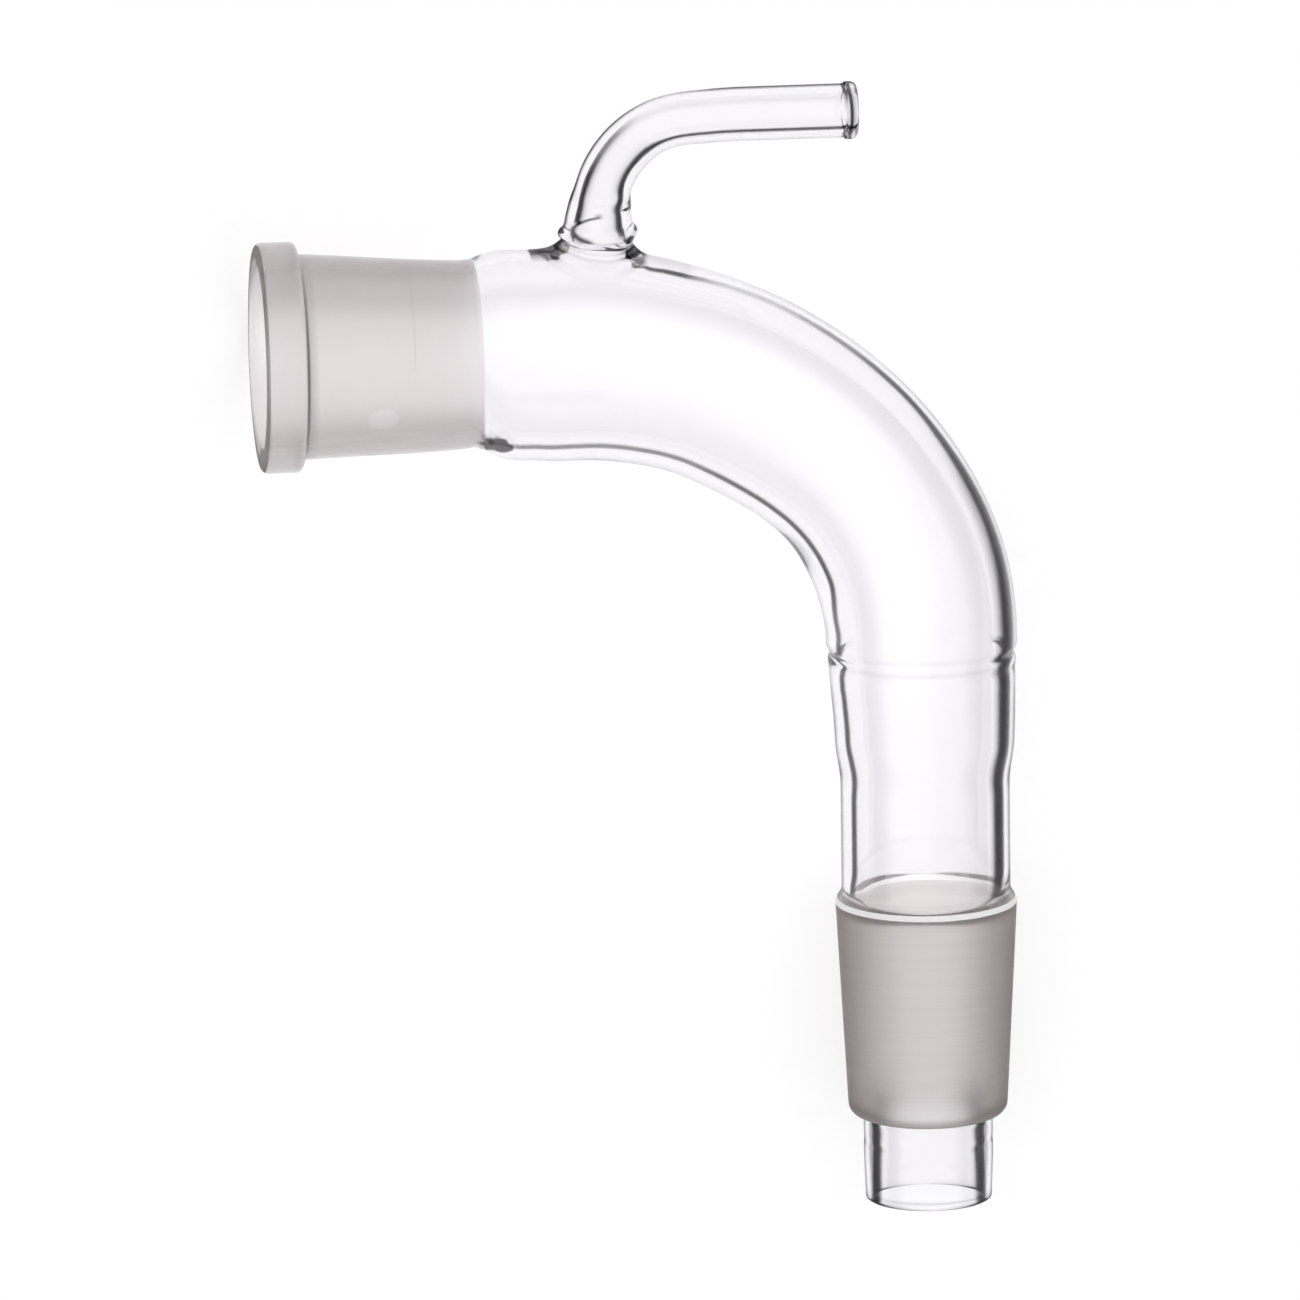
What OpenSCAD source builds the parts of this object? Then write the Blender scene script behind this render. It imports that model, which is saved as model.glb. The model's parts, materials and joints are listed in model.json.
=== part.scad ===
// Vacuum take off adapter, blown and fused from borosilicate glass tube.
// A ground socket and a ground cone stand at right angles on the two ends of a
// bent tube, and a small hose arm rises from the top of the bend.
//
// Bench frame of the glass modules: the socket's axis is X, the cone's axis is Y,
// they cross at the origin, and Z points across the bend. lay_down() then turns
// the finished piece on its side, as it lies on a bench at Z = 0.

/* [Ground joints] */
// Diameter at the large end of both ground joints
joint_d = 24; // [18:0.5:30]
// Length of joint in which its diameter narrows by one millimetre
taper_run = 10; // [8:0.5:20]
// Ground length of the socket
socket_l = 28.1; // [20:0.1:40]
// Ground length of the cone
cone_l = 29; // [20:0.1:40]

/* [Socket] */
// Glass thickness round the socket's ground bore
socket_wall = 1.7; // [1.4:0.05:2.5]
// Glass thickness at the collar round the mouth
collar_wall = 3.1; // [3:0.05:5]
// Length of the collar along the socket
collar_l = 5.3; // [3:0.1:9]
// Rounding of the collar's edges
collar_round = 0.8; // [0.2:0.1:1]
// Length in which the socket opens into the bent tube
flare_l = 7; // [4:0.1:10]

/* [Bent tube] */
// Radius of the first arc of the tube's centre line, next to the socket
bend_r1 = 61.5; // [50:0.5:80]
// Angle turned by the first arc
bend_a1 = 41.5; // [20:0.5:60]
// Radius of the second arc, next to the leg
bend_r2 = 34; // [30:0.5:50]
// How far the swelling behind the socket sags below the socket's axis
sag = 0.8; // [0:0.1:1.2]
// How far the bend bows outwards in its first half, and inwards in its second
bow = 0.3; // [0:0.1:0.5]
// Wall of the bent tube and of the leg
tube_wall = 1.5; // [1:0.05:2]
// Diameter of the swelling where the socket opens into the bend
swell_d = 28; // [26:0.1:30]
// Diameter of the bend's shoulder, in its first half
shoulder_d = 26.7; // [25:0.1:28]
// Diameter of the bend's waist, in its second half
waist_d = 25.1; // [24:0.1:27]
// Diameter of the heel, near the end of the bend
heel_d = 25.2; // [24.6:0.1:26]

/* [Leg] */
// Diameter at the ring weld between the bend and the leg
ring_d = 25.2; // [24.8:0.1:26]
// Height of the ridge that the ring weld leaves in the bore
ridge_h = 1.2; // [0.2:0.1:1.5]
// Diameter of the leg just below the ring weld
leg_top_d = 24.5; // [23.4:0.1:24.8]
// Diameter of the leg where it starts to narrow
leg_d = 23.7; // [22.6:0.1:24.2]
// Length of the leg from the ring weld to where it starts to narrow
leg_l = 11.9; // [6:0.1:20]
// Length in which the leg narrows to the neck
narrow_l = 6.6; // [4:0.1:12]
// Diameter of the neck above the cone
neck_d = 22.3; // [20:0.1:22.4]
// Length of the neck
neck_l = 14.8; // [8:0.1:30]
// Height of the sloping shoulder between the neck and the cone
shoulder_h = 0.9; // [0.4:0.1:2]

/* [Cone and drip tip] */
// Glass thickness round the cone's bore
cone_wall = 3.2; // [2:0.1:4]
// Rounding of the cone's lower end
cone_round = 1.7; // [0.8:0.1:2]
// Outside diameter of the drip tip under the cone
tip_d = 17.1; // [15:0.1:17.4]
// Outside diameter of the drip tip at its open end
tip_end_d = 16.7; // [15:0.1:17.4]
// Length of the drip tip below the cone
tip_l = 11.5; // [7:0.1:25]
// Wall of the drip tip
tip_wall = 1.3; // [0.9:0.05:1.8]

/* [Side arm] */
// Distance from the start of the bend to the arm's root
arm_at = 9.6; // [8:0.1:14]
// Outside diameter of the arm
arm_d = 7.1; // [6:0.1:7.3]
// Wall of the arm
arm_wall = 1.15; // [0.8:0.05:1.5]
// Lean of the arm's root towards the leg
arm_lean = 4; // [2:1:12]
// Height of the arm's straight end above the socket's axis
arm_h = 30.45; // [30.3:0.05:45]
// Radius of the arm's bend, on its centre line
arm_r = 13.1; // [10:0.1:13.3]
// Length of the arm's straight end, with its bead
arm_l = 21.2; // [14:0.1:40]
// Diameter of the bead at the arm's end
bead_d = 7.6; // [7.5:0.05:8.4]
// Length of the bead
bead_l = 1.9; // [1.5:0.1:3]
// Diameter of the flared foot that joins the arm to the bend
foot_d = 13.4; // [11:0.1:15]
// Height of the flared foot
foot_h = 5.4; // [4:0.1:6]

/* [Hidden] */
$fn = 96;
glass = [0.93, 0.94, 0.96, 0.45];
ring_sides = 48;     // sides of each ring of the bent tube
bend_rings = 30;     // rings round the bend
flare_rings = 7;     // rings in the flare behind the socket
flare_lead = 1.3;    // how much sooner the flare's outside is full than its length
sag_run = 17.5;      // length of the bend in which the sag dies away
curve_steps = 8;     // straight pieces in each curved stretch of a turned profile
lap = 1;             // how far one stretch of glass or bore runs into the next
step = 0.12;         // how much slimmer the bend's ends are than what they run into
edge = 0.4;          // bevel inside the mouth of the socket
fillet = 0.6;        // hollow corner behind the collar
pinch = 0.2;         // slimness of the swelling's front, and groove round the tip
ring_pinch = 0.5;    // depth of the outside pinch under the ring weld
ridge_w = 1.6;       // half the width of that pinch and of the ridge in the bore
groove_at = 3.2;     // groove round the drip tip, below the cone
foot_sink = 2.5;     // how far the arm's foot reaches into the bend
foot_curve = 1.2;    // hollowness of the foot's flare
arm_lap = 0.4;       // how far the arm's straight stretches run into its arc
arc_fat = 0.05;      // how much fatter the arm's arc is than they are
bead_round = 0.8;    // rounding of the bead's front edge
narrowing = 0.3;     // how much the bead narrows the arm's bore
tip_lip = 0.4 * tip_wall;   // fire polished rounding of the tip's open end
arm_lip = 0.4 * arm_wall;   // and of the arm's open end

// Radii
joint_r = joint_d / 2;
collar_r = joint_r + collar_wall;
socket_end_r = joint_r - socket_l / taper_run / 2;
cone_end_r = joint_r - cone_l / taper_run / 2;
swell_r = swell_d / 2;
ring_r = ring_d / 2;
neck_r = neck_d / 2;
arm_out = arm_d / 2;
arm_in = arm_out - arm_wall;
foot_r = foot_d / 2;
foot_in = foot_r - 2 * arm_wall;

// Centre line of the bend: two arcs, tangent to the socket's and the leg's axes
bend_x = -(bend_r1 * sin(bend_a1) + bend_r2 * (1 - sin(bend_a1)));
bend_drop = bend_r1 * (1 - cos(bend_a1)) + bend_r2 * cos(bend_a1);
arc1_l = bend_r1 * bend_a1 * PI / 180;
bend_l = arc1_l + bend_r2 * (90 - bend_a1) * PI / 180;

// Stations along X for the socket
ground_x = bend_x - flare_l;
mouth_x = ground_x - socket_l;

// Stations along the leg, as distances below the socket's axis
weld = bend_drop + lap;
narrow = weld + leg_l;
neck = narrow + narrow_l;
shoulder = neck + neck_l;
cone_top = shoulder + shoulder_h;
cone_end = cone_top + cone_l;
tip_end = cone_end + tip_l;

// Stations along the bend, as lengths of its centre line
swell_s = bend_l * 0.06;
shoulder_s = bend_l * 0.38;
waist_s = bend_l * 0.71;
heel_s = bend_l * 0.88;
weld_s = bend_l + lap;
bow_s = bend_l * 0.2;
bow_back_s = bend_l * 0.52;
bow_run = bend_l * 0.15;

// Side arm: root on the bend's surface, then a leaning stretch, an arc and an end
arm_turn = 90 - arm_lean;
arm_root = [bend_x + arm_at, swell_r - sag - edge];
arm_rise = (arm_h - arm_root.y - arm_r * (1 - cos(arm_turn))) / cos(arm_lean);
flare_h = min(foot_h, arm_rise);
arm_pivot = arm_root + arm_rise * [sin(arm_lean), cos(arm_lean)]
    + arm_r * [cos(arm_lean), -sin(arm_lean)];

// Lying on its side the piece touches the bench at three circles: the collar's
// back edge, the ring weld and the cone's top edge. The plane z = -rest_c +
// rest_p x + rest_q y passes under them.
collar_touch = mouth_x + collar_l - collar_round;
rest_q = -(ring_r - joint_r) / (cone_top - weld);
rest_c = joint_r - rest_q * cone_top;
rest_p = (rest_c - collar_r) / collar_touch;
tilt_y = atan(rest_p);
tilt_x = atan(-rest_q * cos(tilt_y));
lift = rest_c * cos(tilt_x) * cos(tilt_y);

// Middle of the finished piece's plan, before it is moved over the origin
plan_x = (mouth_x * cos(tilt_y) - collar_r * abs(sin(tilt_y)) + ring_r) / 2;
plan_y = (arm_h + bead_d / 2 - tip_end - tip_end_d / 2 * abs(sin(tilt_x))) / 2;

// Points along a circular arc from angle a to angle b
function arc(c, r, a, b) =
    [for (i = [0:curve_steps]) let (t = a + (b - a) * i / curve_steps) c + r * [cos(t), sin(t)]];

// Smooth passage from a to b while t goes from 0 to 1
function ease(a, b, t) = a + (b - a) * (1 - cos(180 * min(max(t, 0), 1))) / 2;

// Radius of the arm's foot at the height h: a trumpet that narrows from root to tube
function trumpet(root, tube, h) = tube + (root - tube) * pow(1 - h / flare_h, foot_curve);

// Sag of the swelling at the length s from the bend's start
function sagging(s) =
    s < 0 ? sag * sin(90 * max(1 + s / flare_l, 0))
    : ease(sag, 0, s / sag_run);

// Bow of the bend at the length s: its first half lies outside the two arcs, and its
// second half inside them
function bowing(s) =
    ease(0, bow, (s - bow_s) / bow_run) - ease(0, 2 * bow, (s - bow_back_s) / (2 * bow_run));

// Centre line of the bent tube: [x, y, heading] at the length s from the bend's start
function centre(s) =
    s <= 0 ? [bend_x + s, -sagging(s), 0]
    : s < arc1_l ? let (a = s / bend_r1 * 180 / PI, r = bend_r1 + bowing(s))
        [bend_x + r * sin(a), r * cos(a) - bend_r1 - sagging(s), a]
    : s < bend_l ? let (a = bend_a1 + (s - arc1_l) / bend_r2 * 180 / PI, r = bend_r2 + bowing(s))
        [r * sin(a) - bend_r2, r * cos(a) - bend_drop, a]
    : [bowing(s), bend_l - s - bend_drop, 90];

// Outside radius of the bent tube at the length s
function outside(s) =
    s < 0 ? let (a = socket_end_r + socket_wall - step, t = flare_lead * (1 + s / flare_l))
        a + (swell_r - pinch - a) * sin(90 * min(max(t, 0), 1))
    : s < swell_s ? ease(swell_r - pinch, swell_r, s / swell_s)
    : s < shoulder_s ? ease(swell_d, shoulder_d, (s - swell_s) / (shoulder_s - swell_s)) / 2
    : s < waist_s ? ease(shoulder_d, waist_d, (s - shoulder_s) / (waist_s - shoulder_s)) / 2
    : s < heel_s ? ease(waist_d, heel_d, (s - waist_s) / (heel_s - waist_s)) / 2
    : ease(heel_d / 2, ring_r - step, (s - heel_s) / (bend_l - heel_s));

// Radius of the bent tube's bore at the length s
function inside(s) =
    s < 0 ? ease(socket_end_r - step, swell_r - pinch - tube_wall, 1 + s / flare_l)
    : outside(s) - tube_wall;

function ring(s, r) =
    let (c = centre(s))
    [for (i = [0:ring_sides - 1]) let (t = 360 * i / ring_sides)
        [c.x + r * cos(t) * sin(c.z), c.y + r * cos(t) * cos(c.z), r * sin(t)]];

// Solid tube along the centre line, through rings of the given radii
module sweep(lengths, radii) {
    n = ring_sides;
    last = len(lengths) - 1;
    points = [for (k = [0:last]) each ring(lengths[k], radii[k])];
    sides = [for (k = [0:last - 1], i = [0:n - 1]) let (a = k * n, j = (i + 1) % n)
        each [[a + i, a + n + i, a + j], [a + j, a + n + i, a + n + j]]];
    ends = [[for (i = [0:n - 1]) i], [for (i = [n - 1:-1:0]) last * n + i]];
    polyhedron(points, concat(sides, ends));
}

bend_lengths = concat(
    [-flare_l - lap],
    [for (i = [0:flare_rings - 1]) -flare_l * (1 - i / flare_rings)],
    [for (i = [0:bend_rings]) bend_l * i / bend_rings],
    [weld_s]);

module bend() {
    sweep(bend_lengths, [for (s = bend_lengths) outside(s)]);
}

module bend_bore() {
    sweep(bend_lengths, [for (s = bend_lengths) inside(s)]);
}

// Turned shapes: [radius, distance] profiles about the socket's and the leg's axes
module along_socket() {
    rotate([0, 90, 0]) rotate_extrude() children();
}

module along_leg() {
    rotate([90, 0, 0]) rotate_extrude() children();
}

module socket() {
    collar_end = mouth_x + collar_l;
    body_r = joint_r + socket_wall - collar_l / taper_run / 2;
    along_socket() polygon(concat(
        [[0, mouth_x]],
        arc([collar_r - collar_round, mouth_x + collar_round], collar_round, -90, 0),
        arc([collar_r - collar_round, collar_end - collar_round], collar_round, 0, 90),
        arc([body_r + fillet, collar_end + fillet], fillet, 270, 180),
        [[socket_end_r + socket_wall, ground_x], [0, ground_x]]));
}

module socket_bore() {
    along_socket() polygon([
        [0, mouth_x - lap],
        [joint_r + edge + lap, mouth_x - lap],
        [joint_r - edge / taper_run / 2, mouth_x + edge],
        [socket_end_r, ground_x],
        [0, ground_x]]);
}

module leg() {
    along_leg() polygon(concat(
        [[0, bend_drop + lap / 2], [ring_r, bend_drop + lap / 2]],
        [for (i = [0:curve_steps]) let (t = i / curve_steps)
            [ease(ring_r, leg_top_d / 2, t) - ring_pinch * sin(180 * t), weld + 2 * ridge_w * t]],
        [for (i = [0:curve_steps]) let (t = i / curve_steps)
            [ease(leg_d / 2, neck_r, t), narrow + narrow_l * t]],
        [[neck_r, shoulder], [joint_r - edge, cone_top - edge / 4], [joint_r, cone_top]],
        arc([cone_end_r - cone_round, cone_end - cone_round], cone_round, 0, 90),
        [[tip_d / 2, cone_end + edge]],
        [for (i = [-1:1]) [tip_d / 2 - (1 - abs(i)) * pinch, cone_end + groove_at + i * pinch * 3]],
        arc([tip_end_d / 2 - tip_wall / 2, tip_end - tip_wall / 2], tip_wall / 2, 0, 90),
        [[0, tip_end]]));
}

module leg_bore() {
    leg_in = leg_top_d / 2 - tube_wall;
    tip_in = tip_end_d / 2 - tip_wall;
    along_leg() polygon(concat(
        [[0, bend_drop + lap / 2], [ring_r - tube_wall, bend_drop + lap / 2]],
        [for (i = [0:curve_steps]) let (t = i / curve_steps)
            [ease(ring_r - tube_wall, leg_in, t) - ridge_h * sin(180 * t), weld + 2 * ridge_w * t]],
        [for (i = [0:curve_steps]) let (t = i / curve_steps)
            [ease(leg_d / 2, neck_r, t) - tube_wall, narrow + narrow_l * t]],
        [[neck_r - tube_wall, shoulder],
         [joint_r - cone_wall, cone_top + edge],
         [cone_end_r - cone_wall, cone_end - cone_round],
         [tip_in, cone_end + edge]],
        arc([tip_in + tip_lip, tip_end - tip_lip], tip_lip, 180, 90),
        [[tip_in + tip_lip, tip_end + lap], [0, tip_end + lap]]));
}

// The side arm's three stretches: a leaning root and a straight end, each turned from
// a [radius, distance] profile, and between them an arc of outside radius r. The arc
// is a hair fatter than its neighbours, and both run a little way into it.
module arm(r, root, end) {
    translate([arm_root.x, arm_root.y, 0]) rotate([0, 0, -arm_lean]) rotate([-90, 0, 0])
        rotate_extrude() polygon(root);
    translate([arm_pivot.x, arm_pivot.y, 0]) rotate([0, 0, 90])
        rotate_extrude(angle = arm_turn) translate([arm_r, 0]) circle(r + arc_fat);
    translate([arm_pivot.x, arm_h, 0]) rotate([0, 90, 0])
        rotate_extrude() polygon(end);
}

module side_arm() {
    bead_at = arm_l - bead_l;
    bead_r = bead_d / 2;
    arm(arm_out,
        concat(
            [[0, -foot_sink], [foot_r, -foot_sink]],
            [for (i = [0:curve_steps]) let (h = flare_h * i / curve_steps)
                [trumpet(foot_r, arm_out, h), h]],
            [[arm_out, arm_rise + arm_lap], [0, arm_rise + arm_lap]]),
        concat(
            [[0, -arm_lap], [arm_out, -arm_lap], [arm_out, bead_at], [bead_r, bead_at + bead_r - arm_out]],
            arc([bead_r - bead_round, arm_l - bead_round], bead_round, 0, 90),
            [[0, arm_l]]));
}

module side_arm_bore() {
    mouth_in = arm_in - narrowing;
    arm(arm_in,
        concat(
            [[0, -foot_sink - lap], [foot_in, -foot_sink - lap]],
            [for (i = [0:curve_steps]) let (h = flare_h * i / curve_steps)
                [trumpet(foot_in, arm_in, h), h]],
            [[arm_in, arm_rise + arm_lap], [0, arm_rise + arm_lap]]),
        concat(
            [[0, -arm_lap], [arm_in, -arm_lap], [arm_in, arm_l - bead_l], [mouth_in, arm_l - bead_l + narrowing]],
            arc([mouth_in + arm_lip, arm_l - arm_lip], arm_lip, 180, 90),
            [[mouth_in + arm_lip, arm_l + lap], [0, arm_l + lap]]));
}

module lay_down() {
    translate([-plan_x, -plan_y, lift]) rotate([tilt_x, 0, 0]) rotate([0, tilt_y, 0]) children();
}

// One fused piece of glass: all the outsides, less all the bores
module adapter() {
    color(glass) lay_down() difference() {
        union() {
            socket();
            bend();
            leg();
            side_arm();
        }
        union() {
            socket_bore();
            bend_bore();
            leg_bore();
            side_arm_bore();
        }
    }
}

adapter();
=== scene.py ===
"""Vacuum take off adapter: one fused piece of laboratory glass lying on its side.

The glass is a single closed mesh. A profile of outsides and bores is swept along the
centre line of the piece, and the side arm grows out of it through a flared foot.
Bench frame, in millimetres: the socket's axis is X, the cone's axis is Y, they cross at
the origin, and Z points across the bend, up from the bench.
"""

import json
import math

import bmesh
import bpy
from mathutils import Matrix, Vector


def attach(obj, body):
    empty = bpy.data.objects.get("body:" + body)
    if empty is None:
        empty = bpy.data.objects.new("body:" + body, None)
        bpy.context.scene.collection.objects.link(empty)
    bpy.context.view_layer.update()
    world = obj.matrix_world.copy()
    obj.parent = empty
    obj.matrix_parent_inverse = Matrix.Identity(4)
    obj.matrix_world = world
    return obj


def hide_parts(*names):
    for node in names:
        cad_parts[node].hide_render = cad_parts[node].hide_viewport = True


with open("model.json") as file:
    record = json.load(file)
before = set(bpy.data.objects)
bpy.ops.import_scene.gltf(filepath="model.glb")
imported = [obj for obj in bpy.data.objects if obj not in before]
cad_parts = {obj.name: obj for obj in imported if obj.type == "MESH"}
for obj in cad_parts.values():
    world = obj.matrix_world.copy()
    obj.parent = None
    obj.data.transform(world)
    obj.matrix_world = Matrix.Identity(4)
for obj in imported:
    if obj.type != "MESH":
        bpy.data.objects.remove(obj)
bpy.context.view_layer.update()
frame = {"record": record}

MM = 0.001

# ---------------------------------------------------------------- places from the frame
mounts = {m["name"]: m for m in frame["record"]["mounts"]}
socket_mouth = Vector(mounts["socket"]["pos_m"])
cone_edge = Vector(mounts["cone"]["pos_m"])
arm_middle = Vector(mounts["hose_arm"]["pos_m"])
axis_x = -Vector(mounts["socket"]["axis"])
axis_y = -Vector(mounts["cone"]["axis"])
axis_z = axis_x.cross(axis_y)
crossing = socket_mouth + axis_x * (cone_edge - socket_mouth).dot(axis_x)
bench = Matrix((axis_x, axis_y, axis_z)).transposed().to_4x4()
bench.translation = crossing


def on_bench(point):
    """A point of the row's frame, in bench millimetres."""
    return (bench.inverted() @ point) / MM


# ---------------------------------------------------------------- sizes, in millimetres
JOINT_R = mounts["socket"]["dims"]["r_mm"]
SOCKET_L = mounts["socket"]["dims"]["length_mm"]
CONE_L = mounts["cone"]["dims"]["length_mm"]
ARM_R = mounts["hose_arm"]["dims"]["r_mm"]
ARM_STRAIGHT = mounts["hose_arm"]["dims"]["length_mm"]
TAPER = 0.05                    # radius lost per millimetre of a ground joint

SOCKET_WALL = 1.7
SOCKET_LEAN = 0.45              # how far the socket's outside sinks behind its collar
LEAN_RUN = 20
LEAN_BACK_S = -9                # where the outside begins to rise again
LEAN_BACK_RUN = 4.5
COLLAR_R = JOINT_R + 3.1
COLLAR_L = 5.3
COLLAR_ROUND = 0.8
COLLAR_HOLLOW = 0.5             # rounding of the corner behind the collar
MOUTH_WIDE = 1.1                # rounding of the mouth, across and along the axis
MOUTH_DEEP = 0.45
MOUTH_LIT = 3.2                 # how far in the mouth's far side is of the lit, pale glass
SCRATCH_S = -15.5               # a fine mark left in the socket by the grinding
SCRATCH_HALF = 0.08
FLARE_L = 7.0
FLARE_LEAD = 1.3                # the outside is full before the flare ends
GROUND_SPILL = 1.3              # how far the grinding goes on into the flare

BEND_R1 = 61.5                  # first arc of the centre line
BEND_A1 = math.radians(41.5)
BEND_R2 = 34.0                  # second arc
SAG = 0.8                       # how far the flare's end lies below the socket's axis
SAG_RUN = 17.5
BOW = 0.3                       # how far the bend lies outside its arcs, and then inside
BOW_FROM, BOW_RUN, BOW_BACK = 0.2, 0.15, 0.52   # where, as parts of the bend's length
SWELL_R = 14.0                  # four radii along the bend
SHOULDER_R = 13.35
WAIST_R = 12.65
HEEL_R = 12.75
FLARE_R = SWELL_R - 0.2         # and the one at its start
BEND_PARTS = (0.06, 0.38, 0.71, 0.88)   # where the four lie, as parts of the bend's length

RING_R = 12.6
RING_PINCH = 0.5                # how far the weld draws the outside in
BORE_PINCH = 0.6                # and how far the bore
LEG_TOP_R = 12.25
RING_RUN = 3                    # from the ring's radius to the leg's
LEG_R = 11.85
LEG_L = 11.9
NARROW_L = 6.6
NECK_R = 11.15
NECK_L = 14.8
SHOULDER_H = 0.9
SLOPE_L = 0.9                   # the neck's last stretch, which opens out to the shoulder
CHAMFER = 0.1                   # at the upper edge of the ground cone
CONE_WALL = 3.2
CONE_ROUND = 1.7
CONE_BORE_TOP = 2.0             # how far below the cone's edge its bore begins to widen
CONE_BORE_RUN = 2.6
TIP_R = 8.55
TIP_END_R = 8.35
TIP_L = 11.49
TIP_WALL = 0.9
TIP_BORE_TOP = 1.2              # how far below the cone the tip's bore begins to narrow
TIP_BORE_RUN = 3
GROOVE_AT = 3.2                 # the faint groove round the tip
GROOVE_DEEP = 0.05
GROOVE_HALF = 0.5

ARM_WALL = 1.1
ARM_LEAN = math.radians(4)
ARM_BEND_R = 13.1
ARM_TOP_OF_FOOT = 6.3
BEAD_R = 3.79
BEAD_L = 1.65
BEAD_ROUND = 0.8
LIP_ROUND = 0.45

SIDES = 96                      # quads round the tube
PATCH_SIDES = 11                # half of those that the arm's foot takes up
PATCH_L = 9.2                   # half the length of tube that it takes up
PATCH_RINGS = 24
FOOT_GAP = 0.12                 # the foot's rings lie no further apart
WORN_RINGS = range(4, 8)        # rings of the collar's front edge that are dull on the far side

# ---------------------------------------------------------------- stations
bend_x = -(BEND_R1 * math.sin(BEND_A1) + BEND_R2 * (1 - math.sin(BEND_A1)))
bend_drop = BEND_R1 * (1 - math.cos(BEND_A1)) + BEND_R2 * math.cos(BEND_A1)
arc1_l = BEND_R1 * BEND_A1
bend_l = arc1_l + BEND_R2 * (math.pi / 2 - BEND_A1)

# Lengths of the centre line, counted from the start of the bend
mouth_s = on_bench(socket_mouth).x - bend_x
ground_s = mouth_s + SOCKET_L
weld_s = bend_l + 1
cone_top_s = bend_l - bend_drop - on_bench(cone_edge).y
shoulder_s = cone_top_s - SHOULDER_H
neck_s = shoulder_s - NECK_L
ring_at = weld_s + 0.4
narrow_s = neck_s - NARROW_L
cone_end_s = cone_top_s + CONE_L
tip_end_s = cone_end_s + TIP_L
foot_s = 9.6                    # where the side arm stands

socket_end_r = JOINT_R - TAPER * SOCKET_L
cone_end_r = JOINT_R - TAPER * CONE_L


def ease(a, b, t):
    """Smooth passage from a to b while t goes from 0 to 1."""
    t = min(max(t, 0), 1)
    return a + (b - a) * (1 - math.cos(math.pi * t)) / 2


def steps(a, b, n):
    """n + 1 even values from a to b."""
    return [a + (b - a) * i / n for i in range(n + 1)]


def through(s, stations):
    """Smooth passage through (length, value) stations."""
    before = stations[0]
    for after in stations:
        if s < after[0]:
            return ease(before[1], after[1], (s - before[0]) / max(after[0] - before[0], 1e-6))
        before = after
    return before[1]


def hump(x, middle, width):
    """1 at the middle, falling to nothing a few widths away."""
    return math.exp(-((x - middle) / width) ** 2)


def humps(x, waves):
    """Sum of humps, given as (height, middle, width)."""
    return sum(height * hump(x, middle, width) for height, middle, width in waves)


def bowing(s):
    """How far the bend lies outside its two arcs."""
    if s > weld_s:
        return ease(-BOW, 0, (s - weld_s) / LEG_L)
    run = BOW_RUN * bend_l
    out = ease(0, BOW, (s - BOW_FROM * bend_l) / run)
    return out - ease(0, 2 * BOW, (s - BOW_BACK * bend_l) / run / 2)


def centre(s):
    """Centre line of the tube at the length s: x, y and heading."""
    if s <= 0:
        sagging = SAG * math.sin(math.pi / 2 * max(1 + s / FLARE_L, 0))
        return bend_x + s, -sagging, 0.0
    if s < arc1_l:
        a, r = s / BEND_R1, BEND_R1 + bowing(s)
        return bend_x + r * math.sin(a), r * math.cos(a) - BEND_R1 - ease(SAG, 0, s / SAG_RUN), a
    if s < bend_l:
        a, r = BEND_A1 + (s - arc1_l) / BEND_R2, BEND_R2 + bowing(s)
        return r * math.sin(a) - BEND_R2, r * math.cos(a) - bend_drop, a
    return bowing(s), bend_l - s - bend_drop, math.pi / 2


def bend_radius(s):
    """Outside radius of the bent tube at the length s."""
    if s < 0:
        root = socket_end_r + SOCKET_WALL
        full = min(FLARE_LEAD * (1 + s / FLARE_L), 1)
        return root + (FLARE_R - root) * math.sin(math.pi / 2 * full)
    places = (0, *(bend_l * part for part in BEND_PARTS), bend_l)
    radii = (FLARE_R, SWELL_R, SHOULDER_R, WAIST_R, HEEL_R, RING_R)
    return through(s, list(zip(places, radii)))


def bend_bore(s):
    """Radius of the bent tube's bore at the length s."""
    if s < 0:
        return bend_radius(s) - ease(SOCKET_WALL, mean_wall(0), 1 + s / FLARE_L)
    return bend_radius(s) - mean_wall(s)


# Walls of the bent tube and the leg, thin outside the bend and thick inside it
WALL_OUTSIDE = ((0, 1.4), (14, 1.4), (30, 0.85), (50, 0.75), (62, 0.55), (72, 0.5), (80, 0.7),
                (88, 0.7), (97, 0.9))
WALL_INSIDE = ((0, 1.4), (20, 1.55), (45, 1.4), (60, 1.65), (70, 1.2), (85, 1.2), (97, 1.35))


def mean_wall(s):
    """Thickness of the wall at the length s, halfway between outside and inside of the bend."""
    return (through(s, WALL_OUTSIDE) + through(s, WALL_INSIDE)) / 2


def bore_shift(s):
    """How far the bore lies nearer the outside of the bend than the tube."""
    fade = min(max(1 + s / FLARE_L, 0), 1) * (1 - ease(0, 1, (s - neck_s - NECK_L + 3) / 3))
    return fade * (through(s, WALL_INSIDE) - through(s, WALL_OUTSIDE)) / 2


def lean(s):
    """How high the socket's outside lies over the bore's axis: below it, so less than 0."""
    sinking = ease(0, 1, (s - mouth_s - COLLAR_L + 1) / LEAN_RUN)
    return -SOCKET_LEAN * sinking * ease(1, 0, (s - LEAN_BACK_S) / LEAN_BACK_RUN)


def arc(s, r, radius, start, end, n=8):
    """[length, radius] points on an arc about the point s, r. Angles in degrees."""
    angles = [math.radians(a) for a in steps(start, end, n)]
    return [(s + radius * math.cos(a), r + radius * math.sin(a)) for a in angles]


def line(a, b, longest=1.2):
    """Points from a up to but not including b, no further apart than longest."""
    n = max(1, math.ceil(math.dist(a, b) / longest))
    return [(a[0] + (b[0] - a[0]) * i / n, a[1] + (b[1] - a[1]) * i / n) for i in range(n)]


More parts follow.
